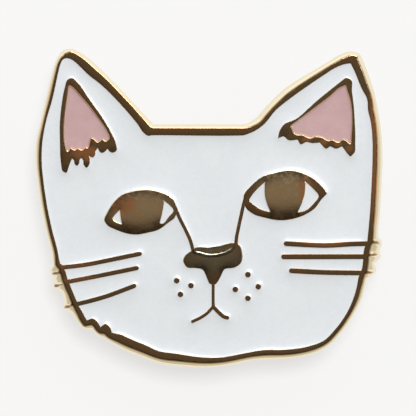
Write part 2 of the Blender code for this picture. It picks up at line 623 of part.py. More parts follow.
def main():
    remove_everything()
    gold = make_material("antique_gold", (0.46, 0.33, 0.2), 1.0, 0.25)
    bright_gold = make_material("bright_gold", (0.83, 0.65, 0.35), 1.0, 0.2)
    solder_metal = make_material("solder", (0.6, 0.58, 0.52), 1.0, 0.45)
    white = make_material("white_enamel", (0.76, 0.78, 0.79), 0.0, 0.15)
    pink = make_material("pink_enamel", (0.6, 0.4, 0.4), 0.0, 0.15)
    build_head(gold, white, pink)
    for side, sign in (("left", -1), ("right", 1)):
        build_post(side, sign * POST_SPACING / 2, bright_gold, solder_metal)
        build_clutch(side, sign * POST_SPACING / 2, bright_gold, bright_gold)


main()
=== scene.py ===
"""The visual model of a cat-face enamel pin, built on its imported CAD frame.

The plate's raised metal and every enamel fill are rebuilt as fine relief meshes on the CAD outlines:
the plate with a rounded shoulder and edges, the enamel with the curved rim that it dries to.
The posts and clutches are turned and bent again with their true rounded edges.
Shapes are worked out in millimetres and scaled by MM when an object is made.
"""

import math

import bmesh
import bpy
import numpy as np
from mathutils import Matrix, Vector
from mathutils.geometry import delaunay_2d_cdt
from mathutils.kdtree import KDTree


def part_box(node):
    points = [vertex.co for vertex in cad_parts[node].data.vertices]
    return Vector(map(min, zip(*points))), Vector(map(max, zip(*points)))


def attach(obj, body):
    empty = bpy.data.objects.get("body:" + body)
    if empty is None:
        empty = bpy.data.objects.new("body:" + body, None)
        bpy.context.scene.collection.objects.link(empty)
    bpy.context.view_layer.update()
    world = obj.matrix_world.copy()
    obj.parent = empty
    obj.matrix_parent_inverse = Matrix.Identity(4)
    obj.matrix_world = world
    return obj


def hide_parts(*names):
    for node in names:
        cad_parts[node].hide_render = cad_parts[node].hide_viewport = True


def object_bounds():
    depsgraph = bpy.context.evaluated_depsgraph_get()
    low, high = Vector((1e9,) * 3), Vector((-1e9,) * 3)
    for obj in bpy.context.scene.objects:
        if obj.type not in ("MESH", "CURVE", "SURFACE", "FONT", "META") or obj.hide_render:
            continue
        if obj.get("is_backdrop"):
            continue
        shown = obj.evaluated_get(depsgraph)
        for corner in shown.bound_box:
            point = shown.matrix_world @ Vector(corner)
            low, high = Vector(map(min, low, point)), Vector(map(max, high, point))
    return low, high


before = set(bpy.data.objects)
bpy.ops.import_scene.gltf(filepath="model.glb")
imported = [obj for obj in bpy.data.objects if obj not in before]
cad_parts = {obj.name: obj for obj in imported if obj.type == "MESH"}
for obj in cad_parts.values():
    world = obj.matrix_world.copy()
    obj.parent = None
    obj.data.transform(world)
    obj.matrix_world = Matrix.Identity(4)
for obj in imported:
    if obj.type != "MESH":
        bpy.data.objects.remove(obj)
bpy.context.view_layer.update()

MM = 0.001

# Relief of the head
CORNER_TURN = math.radians(42)  # an outline's turn that is a corner and not part of a curve
OUTLINE_STEP = 0.075
# The shoulder's share of the rim's width where it faces right, and every 45 degrees on, anticlockwise
SHOULDER_SHARES = (0.54, 0.28, 0.31, 0.62, 0.6, 0.3, 0.47, 0.48)
NARROWEST_SHOULDER = 0.2
WIDEST_SHOULDER = 0.55
SHOULDER_SLOPE = 0.95  # its fall for its width
LINE_EDGE = 0.025
LINE_EDGE_DEPTH = 0.02
WIDE_EDGES = (  # middle x and y and reach of each part of a line whose edge is softer
    (-9.2, -0.9, 1.1),
    (-2.4, -4.7, 0.9),
    (3.3, -4.4, 0.8),
    (9.6, 1.6, 0.7),
)
WIDE_EDGE = 0.09
WIDE_EDGE_DEPTH = 0.03
EAR_EDGE = 0.13  # the exposed wall round the pink, whose fill lies lower
EAR_EDGE_DEPTH = 0.12
EDGE_POWER = 1.3
LINE_SINK = 0.05  # from the plate's full height to a narrow line's top
CROWN_PUSH = 0.078
CROWN_REACH = 1.2
MENISCUS_GAP = 0.05  # from a line's top down to where the enamel meets it
MENISCUS_REACH = 0.62
PINK_RISE = 0.3
BACK_EDGE = 0.15
SHOULDER_RINGS = (0.04, 0.14, 0.3, 0.5, 0.7, 0.9, 1.15)
EDGE_RINGS = (0.4, 1.0, 2.6, 4.4)
EAR_RINGS = (0.1, 0.3, 0.55, 0.8, 1.05)
ENAMEL_RINGS = (0.07, 0.15, 0.25, 0.38, 0.55, 0.8, 1.1)
METAL_GRID = 0.12
IRIS_GRID = 0.07
IRIS_REACH = 1.6  # how far its fine mesh runs past each eye's whites
ENAMEL_GRID = 0.3
ENAMEL_GRID_GAP = 0.1  # from the last ring to the grid
BACK_GRID = 0.8
FILL_WITH_HOLES = 2
FLOOR_GAP = 0.03
NOSE_CREASE = (
    (-1.5, -4.03),
    (-0.8, -4.15),
    (-0.3, -4.29),
    (0.1, -4.35),
    (0.8, -4.3),
    (1.5, -4.1),
    (2.0, -3.85),
    (2.4, -3.45),
)
CREASE_HEIGHT = 0.03
CREASE_WIDTH = 0.1
FOLDS = (  # middle x and y, and half of the run and of the rise
    (15.15, -3.15, 0.4, -0.12),
    (14.95, -4.27, 0.4, 0.05),
    (14.5, -5.9, 0.4, 0.0),
    (-14.0, -5.98, 0.3, 0.08),
    (-13.95, -7.12, 0.35, 0.1),
    (-12.9, -9.03, 0.3, 0.12),
)
FOLD_SHARE = 0.6
FOLD_FLAT = 0.45  # the width of the flat beside them
FOLD_REACH = 1.3  # how far the wide shoulder runs round them
FOLD_WIDTH = 0.17
FINE_STEP = 0.045
FINE_REACH = 4 * FINE_STEP  # from a crease or fold to the end of the fine mesh
CREASE_FADE = 0.4  # over which the crease comes up from each end
SETTLE_ROUNDS = 300
SMOOTH_ANGLE = 0.6  # faces that turn more than this meet at a sharp edge

# Posts and clutches, as in the CAD, with their edges rounded
TURN_STEPS = 96
CORNER_STEPS = 4
NEEDLE_RADIUS = 0.5
NEEDLE_TIP_LENGTH = 1.1
NEEDLE_TIP_RADIUS = 0.06
GROOVE_DISTANCE = 6.0
GROOVE_WIDTH = 0.45
GROOVE_DEPTH = 0.12
HEAD_DISC_THICKNESS = 0.35
POST_CORNER = 0.08
FILLET_STEPS = 10
FILLET_POWER = 1.6  # how hollow the solder's slope is
SOLDER_WAVES = ((0.018, 3, 1.0), (0.012, 7, 0.0), (0.008, 11, 2.0))  # share of the radius, waves, start
SOLDER_SHRINK = 0.04  # so that the waves stay inside the CAD's ring
SHEET = 0.35
RIM_LIP = 1.0
FLANGE_RISE = 1.11  # from a clutch's cloth side to the face of its flange
CAP_RADIUS = 3.15
SHEET_CORNER = 0.16
DISC_CORNER = 0.1
HOLE_CLEARANCE = 0.25
DISC_HOLE_CLEARANCE = 0.4
NIB_COUNT = 3
NIB_CIRCLE_RADIUS = 3.4
NIB_RADIUS = 0.32
NIB_HEIGHT = 0.45
NIB_TIP_RADIUS = 0.05
NIB_WAIST_RADIUS = 0.12
NIB_WAIST = 0.6  # how far up the nib its waist is
NIB_ROOT = 0.1  # how far it goes into the disc
WINDOW_HALF = 2.1
WINDOW_SILL = 0.2
WINDOW_RISE = 1.55
WING_SHEET = 0.4
WING_NECK = 2.0
WING_PAD = 2.6
WING_RISE = 4.9
WING_REACH = 2.25
WING_CORNER = 0.9
WING_EDGE = 0.12
WING_STEP = 0.15
JAW_RISE = 0.65
JAW_EDGE = 0.15
JAW_NOTCH_CLEARANCE = 0.12

# Colours, linear RGB
GOLD = (0.36, 0.262, 0.15)
RED_GOLD = (0.45, 0.25, 0.13)
# Painted sheen on the plate's rounded edges and shoulder: pale low down, yellow higher up
PALE_SHEEN = (0.92, 0.83, 0.64)
YELLOW_SHEEN = (0.93, 0.82, 0.60)
# Painted reflections and shade on the plate's metal, placed by TONES: lighter round the eyes, reddish glints,
# a dull nose and dark spots
EYE_GOLD = (0.84, 0.70, 0.46)
REDDISH_GLINT = (0.95, 0.48, 0.24)
DULL_REFLECTION = (0.37, 0.35, 0.26)
PAINTED_DARK = (0.20, 0.17, 0.13)
# painted shade on the whisker folds over the shoulder
FOLD_SHADE_BROWN = (0.32, 0.17, 0.07)
STAMPED_GOLD = (0.86, 0.68, 0.36)
STAMPED_TINT = (0.80, 0.60, 0.30)
SOLDER_GREY = (0.62, 0.60, 0.56)
SOLDER_SHADE = (0.45, 0.43, 0.40)
WHITES = ((0.715, 0.75, 0.805), (0.695, 0.735, 0.79))
PINKS = ((0.535, 0.36, 0.375), (0.51, 0.335, 0.35))
# Painted reflections and shade: soft spots that make parts of the polished plate lighter, reddish or darker
TONES = (  # middle x and y, reach along x and y, strength and tone of each part that looks different
    (-6.4, -0.1, 3.8, 2.4, 0.9, EYE_GOLD),
    (6.9, 1.4, 3.2, 2.6, 0.9, EYE_GOLD),
    (-7.8, 0.3, 1.5, 1.3, 0.75, REDDISH_GLINT),
    (8.7, 1.6, 0.8, 1.8, 0.6, REDDISH_GLINT),
    (-11.0, 4.9, 2.0, 0.9, 0.7, REDDISH_GLINT),
    (10.6, -3.2, 2.6, 0.5, 0.55, REDDISH_GLINT),
    (-11.5, -5.4, 3.0, 0.5, 0.4, REDDISH_GLINT),
    (-11.3, -6.6, 3.0, 0.5, 0.4, REDDISH_GLINT),
    (15.1, 5.5, 0.7, 9.0, 0.6, REDDISH_GLINT),
    (0.5, -4.6, 3.4, 1.9, 0.9, DULL_REFLECTION),
    (-13.0, 3.5, 0.4, 0.6, 0.8, PAINTED_DARK),
    (-12.06, 3.95, 0.35, 0.45, 0.8, PAINTED_DARK),
    (-11.17, 3.8, 0.35, 0.45, 0.8, PAINTED_DARK),
    (-9.75, 5.15, 0.35, 0.35, 0.7, PAINTED_DARK),
    (-8.75, 5.3, 0.4, 0.45, 0.7, PAINTED_DARK),
    (8.9, 6.2, 0.6, 0.3, 0.6, REDDISH_GLINT),
    (10.4, 5.95, 0.5, 0.35, 0.6, REDDISH_GLINT),
    (11.8, 5.8, 0.5, 0.3, 0.6, REDDISH_GLINT),
    (12.8, 5.4, 0.5, 0.4, 0.5, REDDISH_GLINT),
    (6.9, 6.9, 0.6, 0.6, 0.6, PAINTED_DARK),
)
SHEEN_FROM, SHEEN_TO = 0.06, 0.012  # below a line's top, where the painted sheen on the edges and shoulder gives way to the flat's colour
SHOULDER_SHEEN_FROM, SHOULDER_SHEEN_TO = 0.3, 0.12  # below it, where the shoulder's painted sheen turns from pale to yellow
# The painted shade on the folds: its margin past each fold's ends, its reach across them and its share
FOLD_SHADE_MARGIN = 0.1
FOLD_SHADE_REACH = 0.2
FOLD_SHADE_SHARE = 0.85
RINGS_PER_MM = 14.0

# The room, the lights and the camera, in metres
FLOOR_SIZE = 1.2
FLOOR_DIFFUSE = 0.2
FLOOR_GLOW = 0.64
DIM_WALL = (0.74, 0.70, 0.60)
BRIGHT_WALL = (1.4, 1.4, 1.36)
DARK_CEILING = (0.05, 0.04, 0.032)
BROWN_CEILING = (0.33, 0.25, 0.175)
ROOM_STRENGTH = 0.8
SOFTBOX_SIZE = (0.34, 0.2)
SOFTBOX_ENERGY = 1.6
SOFTBOX_DIRECTION = (0.22, 0.5, 0.83)
LAMP_ENERGY = 2.7
LAMP_ANGLE = math.radians(12)
LAMP_DIRECTION = (0.05, 0.14, 1.0)
LIGHT_DISTANCE = 0.5
FIELD = 0.03796  # the width that the camera sees at the plate's top
CAMERA_HEIGHT = 0.5
CAMERA_SHIFT = (-0.00009, 0.00003)
CAMERA_NEAR = 0.01
SENSOR = 36.0

ENAMEL_NODES = [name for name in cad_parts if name.startswith("enamel_")]


# Outlines from the CAD solids


def triangles_in_mm(node):
    """A CAD node's corners, with those in one place merged, and its triangles."""
    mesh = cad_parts[node].data
    mesh.calc_loop_triangles()
    corners = np.empty(len(mesh.vertices) * 3, np.float32)
    mesh.vertices.foreach_get("co", corners)
    triangles = np.empty(len(mesh.loop_triangles) * 3, np.int32)
    mesh.loop_triangles.foreach_get("vertices", triangles)
    places = np.round(corners.reshape(-1, 3).astype(float) / MM, 4)
    corners, index = np.unique(places, axis=0, return_inverse=True)
    return corners, index.reshape(-1)[triangles.reshape(-1, 3)]


def loops_at(node, height):
    """The outlines of a node's flat faces at this height: outer ones anticlockwise, holes clockwise."""
    corners, triangles = triangles_in_mm(node)
    flat = triangles[(np.abs(corners[triangles][:, :, 2] - height) < 0.002).all(axis=1)]
    edges = {(int(t[i]), int(t[i - 2])) for t in flat for i in range(3)}
    after = {start: end for start, end in edges if (end, start) not in edges}
    loops = []
    while after:
        start, here = after.popitem()
        loop = [start]
        while here != start:
            loop.append(here)
            here = after.pop(here)
        loops.append(corners[loop][:, :2])
    return sorted(loops, key=lambda loop: -abs(area_of(loop)))


def area_of(loop):
    x, y = loop.T
    return float(np.sum(x * np.roll(y, -1) - y * np.roll(x, -1))) / 2


def smooth_outline(loop, step=OUTLINE_STEP):
    """Evenly spaced points on a smooth curve through an outline's points, with its corners kept."""
    sides = np.roll(loop, -1, axis=0) - loop
    lengths = np.linalg.norm(sides, axis=1)
    before = np.roll(sides, 1, axis=0)
    before_lengths = np.roll(lengths, 1)
    crossed = before[:, 0] * sides[:, 1] - before[:, 1] * sides[:, 0]
    turns = np.abs(np.arctan2(crossed, np.sum(before * sides, axis=1)))
    # The longer side is the straighter one, so it has the greater say in the direction at a point.
    along = before + sides
    along = along / np.linalg.norm(along, axis=1)[:, None]
    along_out = np.where((turns > CORNER_TURN)[:, None], sides / lengths[:, None], along)
    along_in = np.where((turns > CORNER_TURN)[:, None], before / before_lengths[:, None], along)
    points = []
    for i, length in enumerate(lengths):
        j = (i + 1) % len(loop)
        share = np.arange(max(1, round(length / step)))[:, None] / max(1, round(length / step))
        start_in = along_out[i] * length
        end_in = along_in[j] * length
        points.append(
            loop[i] * (2 * share**3 - 3 * share**2 + 1)
            + start_in * (share**3 - 2 * share**2 + share)
            + loop[j] * (3 * share**2 - 2 * share**3)
            + end_in * (share**3 - share**2)
        )
    return np.concatenate(points)


class Boundary:
    """Closed loops of points, and the distance from them."""

    def __init__(self, loops):
        self.points = np.concatenate(loops)
        self.before = np.concatenate([np.roll(loop, 1, axis=0) for loop in loops])
        self.after = np.concatenate([np.roll(loop, -1, axis=0) for loop in loops])
        self.tree = KDTree(len(self.points))
        for i, (x, y) in enumerate(self.points):
            self.tree.insert((x, y, 0), i)
        self.tree.balance()

    def nearest(self, places):
        return [self.tree.find((x, y, 0))[1] for x, y in places]

    def outward(self, places):
        """The direction out of an anticlockwise loop at the point of it nearest each place."""
        near = self.nearest(places)
        along = self.after[near] - self.before[near]
        along = along / np.linalg.norm(along, axis=1)[:, None]
        return np.stack([along[:, 1], -along[:, 0]], axis=1)

    def distance(self, places):
        near = self.nearest(places)
        here = self.points[near]
        found = np.full(len(places), np.inf)
        for other in (self.before[near], self.after[near]):
            side = other - here
            share = np.sum((places - here) * side, axis=1) / np.sum(side * side, axis=1)
            foot = here + side * np.clip(share, 0, 1)[:, None]
            found = np.minimum(found, np.linalg.norm(places - foot, axis=1))
        return found


# Relief meshes


def ring_points(loop, distance):
    """Points at this distance to the left of a loop, which is the side that it encloses."""
    along = np.roll(loop, -1, axis=0) - np.roll(loop, 1, axis=0)
    along = along / np.linalg.norm(along, axis=1)[:, None]
    return loop + np.stack([-along[:, 1], along[:, 0]], axis=1) * distance


def grid_points(loops, step):
    """A triangular grid of points over the loops' extent."""
    low = np.min([loop.min(axis=0) for loop in loops], axis=0)
    high = np.max([loop.max(axis=0) for loop in loops], axis=0)
    rows = np.arange(low[1], high[1], step * math.sqrt(3) / 2)
    columns = np.arange(low[0], high[0], step)
    x, y = np.meshgrid(columns, rows)
    x = x + (np.arange(len(rows)) % 2)[:, None] * step / 2
    return np.stack([x.ravel(), y.ravel()], axis=1)


def filled(loops, inner_points):
    """Triangles that fill the loops, holes left out, as (points, triangles). The loops' points come first."""
    points = np.concatenate(loops + [inner_points]) if len(inner_points) else np.concatenate(loops)
    ends = np.cumsum([0] + [len(loop) for loop in loops])
    outlines = [list(range(start, end)) for start, end in zip(ends[:-1], ends[1:])]
    out_points, _, faces, origins, _, _ = delaunay_2d_cdt(
        [Vector(point) for point in points], [], outlines, FILL_WITH_HOLES, 1e-6
    )
    ours = {}
    for i, origin in enumerate(origins):
        for j in origin:
            ours[i] = j
            break
    extra = [i for i in range(len(out_points)) if i not in ours]
    for k, i in enumerate(extra):
        ours[i] = len(points) + k
    points = np.concatenate([points, [tuple(out_points[i]) for i in extra]]) if extra else points
    triangles = np.array([[ours[i] for i in face] for face in faces])
    a, b, c = points[triangles[:, 0]], points[triangles[:, 1]], points[triangles[:, 2]]
    turned = (b[:, 0] - a[:, 0]) * (c[:, 1] - a[:, 1]) - (b[:, 1] - a[:, 1]) * (c[:, 0] - a[:, 0])
    triangles[turned < 0] = triangles[turned < 0][:, ::-1]
    used, index = np.unique(triangles, return_inverse=True)
    return points[used], index.reshape(-1, 3)


def relief_plan(loops, rings, grid, last_ring, extra=None):
    """A fine flat mesh inside the loops. rings gives each loop's ring distances."""
    boundary = Boundary(loops)
    inner = [] if extra is None else [extra(boundary)]
    for loop, distances in zip(loops, rings):
        for distance in distances:
            if distance > 0:
                places = ring_points(loop, distance)
                inner.append(places[boundary.distance(places) > 0.9 * distance])
    places = grid_points(loops, grid)
    inner.append(places[boundary.distance(places) > last_ring])
    return filled(loops, np.concatenate(inner))


def settle(points, triangles, fixed, fixed_value, reach, push=0.0):
    """Solves for a stretched skin: fixed where told, drawn to 0 over the distance reach, and pushed up.

    Conjugate gradients on the mesh's cotangent weights.
    """
    count = len(points)
    rows, columns, weights = [], [], []
    mass = np.zeros(count)
    for corner in range(3):
        i = triangles[:, corner]
        j = triangles[:, (corner + 1) % 3]
        k = triangles[:, (corner + 2) % 3]
        u = points[i] - points[k]
        v = points[j] - points[k]
        crossed = np.abs(u[:, 0] * v[:, 1] - u[:, 1] * v[:, 0])
        cotangent = np.sum(u * v, axis=1) / np.maximum(crossed, 1e-7)
        rows += [i, j]
        columns += [j, i]
        weights += [cotangent / 2, cotangent / 2]
        mass += np.bincount(i, crossed / 6, count)
    rows = np.concatenate(rows)
    columns = np.concatenate(columns)
    weights = np.concatenate(weights)
    diagonal = np.bincount(rows, weights, count) + mass / reach**2 + 1e-12
    free = ~fixed

    def applied(values):
        return diagonal * values - np.bincount(rows, weights * values[columns], count)

    values = np.where(fixed, fixed_value, 0.0)
    residual = (mass * push - applied(values)) * free
    scaled = residual / diagonal
    direction = scaled.copy()
    energy = residual @ scaled
    for _ in range(SETTLE_ROUNDS):
        moved = applied(direction) * free
        step = energy / max(direction @ moved, 1e-30)
        values += step * direction
        residual -= step * moved
        scaled = residual / diagonal
        fresh = residual @ scaled
        if fresh < 1e-16:
            break
        direction = scaled + direction * (fresh / energy)
        energy = fresh
    return values


def round_edge(distance, width, depth, power=2.0):
    """How far a rounded edge lies below the flat beside it, at this distance from the edge.

    Power 2 is a quarter of an ellipse. A lower one starts to fall nearer the flat, as a tumbled edge does.
    """
    inward = np.clip(1 - distance / width, 0, 1)
    return depth * (1 - (1 - inward**power) ** (1 / power))


def mesh_object(name, points, faces):
    """A closed object from points in mm and faces, with points in one place merged."""
    mesh = bpy.data.meshes.new(name)
    mesh.from_pydata((points * MM).tolist(), [], faces)
    bm = bmesh.new()
    bm.from_mesh(mesh)
    bmesh.ops.remove_doubles(bm, verts=bm.verts, dist=1e-8)
    bmesh.ops.recalc_face_normals(bm, faces=bm.faces)
    bm.to_mesh(mesh)
    bm.free()
    mesh.shade_smooth()
    mesh.set_sharp_from_angle(angle=SMOOTH_ANGLE)
    obj = bpy.data.objects.new(name, mesh)
    bpy.context.scene.collection.objects.link(obj)
    return obj


def at_height(points, heights):
    """Flat points raised to one height, or each to its own."""
    return np.column_stack([points, np.broadcast_to(heights, len(points))])


def wall_between(loop, upper, lower):
    """Quads between two heights along a loop, upper being one height for each of its points."""
    count = len(loop)
    top = at_height(loop, upper)
    bottom = at_height(loop, lower)
    index = np.arange(count)
    after = np.roll(index, -1)
    return np.concatenate([top, bottom]), np.column_stack([index, index + count, after + count, after])


def joined(parts):
    """One list of points and one of faces from several (points, faces)."""
    points, faces, start = [], [], 0
    for part_points, part_faces in parts:
        points.append(part_points)
        faces += (np.asarray(part_faces) + start).tolist()
        start += len(part_points)
    return np.concatenate(points), faces


def build_enamel(name, line_top):
    """An enamel fill whose surface climbs to meet the metal round it."""
    low, high = (np.array(corner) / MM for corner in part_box(name))
    loops = [smooth_outline(loop)[::-1] for loop in cell_loops[name]]
    rings = [ENAMEL_RINGS] * len(loops)
    points, triangles = relief_plan(loops, rings, ENAMEL_GRID, ENAMEL_RINGS[-1] + ENAMEL_GRID_GAP)
    edge_count = sum(len(loop) for loop in loops)
    fixed = np.arange(len(points)) < edge_count
    rise = (line_top - MENISCUS_GAP - high[2]) * (PINK_RISE if "pink" in name else 1.0)
    heights = high[2] + settle(points, triangles, fixed, rise, MENISCUS_REACH)
    parts = [(at_height(points, heights), triangles)]
    start = 0
    for loop in loops:
        parts.append(wall_between(loop, heights[start : start + len(loop)], low[2]))
        start += len(loop)
    floor_points, floor_triangles = filled(loops, [])
    parts.append((at_height(floor_points, low[2]), floor_triangles[:, ::-1]))
    piece = mesh_object(f"{name}_surface", *joined(parts))
    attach(piece, "pin")
    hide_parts(name)
    return piece


def inside(place, loop):
    """Whether a place is inside a loop, by the crossings of a line going right from it."""
    x, y = loop.T
    next_x, next_y = np.roll(loop, -1, axis=0).T
    crossing = (y > place[1]) != (next_y > place[1])
    rise = np.where(next_y == y, 1, next_y - y)
    return bool(np.sum(crossing & (place[0] < x + (place[1] - y) * (next_x - x) / rise)) % 2)


def from_line(points, line):
    """How far points are from a line of straight runs."""
    nearest = np.full(len(points), np.inf)
    for start, end in zip(np.array(line[:-1]), np.array(line[1:])):
        side = end - start
        share = np.clip((points - start) @ side / (side @ side), 0, 1)
        apart = points - start - share[:, None] * side
        nearest = np.minimum(nearest, np.linalg.norm(apart, axis=1))
    return nearest


def crease_height(points):
    """The low ridge pressed across the nose."""
    distance = from_line(points, NOSE_CREASE)
    from_left = np.clip((points[:, 0] - NOSE_CREASE[0][0]) / CREASE_FADE, 0, 1)
    from_right = np.clip((NOSE_CREASE[-1][0] - points[:, 0]) / CREASE_FADE, 0, 1)
    return from_left * from_right * CREASE_HEIGHT * np.exp(-((distance / CREASE_WIDTH) ** 2))


def near_places(points, places):
    """How far each point is into the reach of one of these places, each a middle x and y and a reach."""
    share = np.zeros(len(points))
    for x, y, reach in places:
        apart = np.hypot(points[:, 0] - x, points[:, 1] - y)
        share = np.maximum(share, np.exp(-((apart / reach) ** 4)))
    return share


def fold_share(points):
    """How much of the shoulder's fall is left, less on the short ridges where the whiskers run on over it."""
    left = np.ones(len(points))
    for x, y, half, rise in FOLDS:
        distance = from_line(points, [(x - half, y - rise), (x + half, y + rise)])
        left = np.minimum(left, 1 - FOLD_SHARE * np.exp(-((distance / FOLD_WIDTH) ** 4)))
    return left


def fine_points(boundary):
    """Extra points round the crease and the folds, which are finer than the grid."""
    lines = [NOSE_CREASE] + [((x - half, y - rise), (x + half, y + rise)) for x, y, half, rise in FOLDS]
    found = []
    for line in lines:
        line = np.array(line)
        low, high = line.min(axis=0) - FINE_REACH, line.max(axis=0) + FINE_REACH
        places = grid_points([np.array([low, high])], FINE_STEP)
        found.append(places[from_line(places, line) < FINE_REACH])
    for name, cell in cell_loops.items():
        if "eye" in name:
            low, high = cell[0].min(axis=0) - IRIS_REACH, cell[0].max(axis=0) + IRIS_REACH
            found.append(grid_points([np.array([low, high])], IRIS_GRID))
    found = np.concatenate(found)
    return found[boundary.distance(found) > FINE_STEP]


def build_plate():
    """The plate: raised metal with a rounded shoulder outside and softened edges inside, and its cells."""
    outlines = [smooth_outline(loop) for loop in top_loops]
    outer, others = outlines[0], outlines[1:]
    shoulder = [WIDEST_SHOULDER * ring for ring in SHOULDER_RINGS]
    edge = [LINE_EDGE * ring for ring in EDGE_RINGS]
    ear_edge = [EAR_EDGE * ring for ring in EAR_RINGS]
    pink_edges = [cell[0] for name, cell in cell_loops.items() if "pink" in name]
    rings = [ear_edge if any(loop is ear for ear in pink_edges) else edge for loop in top_loops[1:]]
    points, triangles = relief_plan(outlines, [shoulder] + rings, METAL_GRID, METAL_GRID, fine_points)
    # The crown runs on over the eyes' whites, so their edges are left free.
    eye_whites = [cell[0] for name, cell in cell_loops.items() if "eye" in name]
    held = [not any(loop is white for white in eye_whites) for loop in top_loops]
    fixed = np.zeros(len(points), bool)
    fixed[: sum(len(loop) for loop in outlines)] = np.repeat(held, [len(loop) for loop in outlines])
    from_outer = Boundary([outer]).distance(points)
    from_inner = Boundary(others).distance(points)
    facing = Boundary([outer]).outward(points)
    compass = np.degrees(np.arctan2(facing[:, 1], facing[:, 0]))
    share = np.interp(compass, np.arange(8) * 45, SHOULDER_SHARES, period=360)
    width = np.clip(share * (from_outer + from_inner), NARROWEST_SHOULDER, WIDEST_SHOULDER)
    # Round the folds it takes all the rim's width but the flat next to the enamel.
    by_folds = near_places(points, [(x, y, FOLD_REACH) for x, y, _, _ in FOLDS])
    width += by_folds * (np.maximum(from_outer + from_inner - FOLD_FLAT, NARROWEST_SHOULDER) - width)
    soft = near_places(points, WIDE_EDGES)
    from_pink = Boundary([smooth_outline(loop) for loop in pink_edges]).distance(points)
    heights = (
        line_top
        + settle(points, triangles, fixed, 0.0, CROWN_REACH, CROWN_PUSH)
        - round_edge(from_outer, width, SHOULDER_SLOPE * width, EDGE_POWER) * fold_share(points)
        - round_edge(from_inner, LINE_EDGE + WIDE_EDGE * soft, LINE_EDGE_DEPTH + WIDE_EDGE_DEPTH * soft)
        - round_edge(from_pink, EAR_EDGE, EAR_EDGE_DEPTH)
        + crease_height(points)
    )
    parts = [(at_height(points, heights), triangles)]
    start = 0
    for loop in outlines:
        upper = heights[start : start + len(loop)]
        lower = plate_low[2] + BACK_EDGE if loop is outer else cell_floor
        parts.append(wall_between(loop, upper, lower))
        start += len(loop)
    for cell in cells:
        floor_points, floor_triangles = filled([smooth_outline(loop) for loop in cell], [])
        parts.append((at_height(floor_points, cell_floor), floor_triangles))
    back_rings = [BACK_EDGE * ring for ring in EAR_RINGS]
    points, triangles = relief_plan([outer], [back_rings], BACK_GRID, BACK_EDGE)
    heights = plate_low[2] + round_edge(Boundary([outer]).distance(points), BACK_EDGE, BACK_EDGE)
    parts.append((at_height(points, heights), triangles[:, ::-1]))
    piece = mesh_object("plate_relief", *joined(parts))
    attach(piece, "pin")
    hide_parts("base_plate")
    return piece


plate_low, plate_high = (np.array(corner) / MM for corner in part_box("base_plate"))
plate_top = float(plate_high[2])
line_top = plate_top - LINE_SINK
cell_floor = float(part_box("enamel_face")[0][2]) / MM - FLOOR_GAP
top_loops = loops_at("base_plate", plate_top)
cells = []
for hole in top_loops:
    if area_of(hole) < 0:
        islands = [loop for loop in top_loops if area_of(loop) > 0 and inside(loop[0], hole)]
        cells.append([hole] + islands)
cell_loops = {}
for cell in cells:
    middle = (cell[0].min(axis=0) + cell[0].max(axis=0)) / 2
    centres = {name: np.mean(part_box(name), axis=0)[:2] / MM for name in ENAMEL_NODES}
    cell_loops[min(centres, key=lambda name: np.linalg.norm(centres[name] - middle))] = cell

plate = build_plate()
enamels = {name: build_enamel(name, line_top) for name in ENAMEL_NODES}


# Posts and clutches


def rounded(profile, radius, steps=CORNER_STEPS):
    """A closed (radius, height) profile with each corner off the axis rounded."""
    points = [Vector(point) for point in profile]
    soft = []
    for i, here in enumerate(points):
        before, after = points[i - 1], points[(i + 1) % len(points)]
        if here.x == 0:
            soft.append(here)
            continue
        start = here + (before - here).normalized() * min(radius, 0.45 * (before - here).length)
        end = here + (after - here).normalized() * min(radius, 0.45 * (after - here).length)
        for step in range(steps + 1):
            share = step / steps
            soft.append(start.lerp(here, share).lerp(here.lerp(end, share), share))
    return soft


def turned(profile, middle, base, down=True, wobble=None):
    """(points, faces) of a closed profile turned round an upright axis. down turns its heights downwards."""
    angles = np.arange(TURN_STEPS) * 2 * math.pi / TURN_STEPS
    radii = np.array([point[0] for point in profile])
    heights = np.array([point[1] for point in profile])
    radii = radii[:, None] * (np.ones(TURN_STEPS) if wobble is None else wobble(angles, heights))
    z = np.repeat(base + (-heights if down else heights), TURN_STEPS)
    x = middle[0] + radii * np.cos(angles)
    y = middle[1] + radii * np.sin(angles)
    index = np.arange(len(profile) * TURN_STEPS).reshape(len(profile), TURN_STEPS)
    next_row = np.roll(index, -1, axis=0)
    quads = np.stack([index, np.roll(index, -1, axis=1), np.roll(next_row, -1, axis=1), next_row], axis=-1)
    return np.stack([x.ravel(), y.ravel(), z], axis=1), quads.reshape(-1, 4).tolist()


def with_cuts(obj, cutters, operation="DIFFERENCE"):
    """Applies each cutter to the object and removes it."""
    for cutter in cutters:
        cut = obj.modifiers.new(cutter.name, "BOOLEAN")
        cut.operation = operation
        cut.object = cutter
    bpy.context.view_layer.update()
    made = bpy.data.meshes.new_from_object(obj.evaluated_get(bpy.context.evaluated_depsgraph_get()))
    obj.modifiers.clear()
    obj.data = made
    made.shade_smooth()
    made.set_sharp_from_angle(angle=SMOOTH_ANGLE)
    for cutter in cutters:
        bpy.data.objects.remove(cutter)
    return obj


def block(name, low, high):
    """A plain box, used only to cut."""
    xs, ys, zs = zip(low, high)
    corners = np.array([(x, y, z) for x in xs for y in ys for z in zs])
    faces = [(0, 1, 3, 2), (4, 6, 7, 5), (0, 4, 5, 1), (2, 3, 7, 6), (0, 2, 6, 4), (1, 5, 7, 3)]
    return mesh_object(name, corners, faces)


def box_in_mm(node):
    low, high = (np.array(corner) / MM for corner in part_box(node))
    return low, high, (low + high) / 2


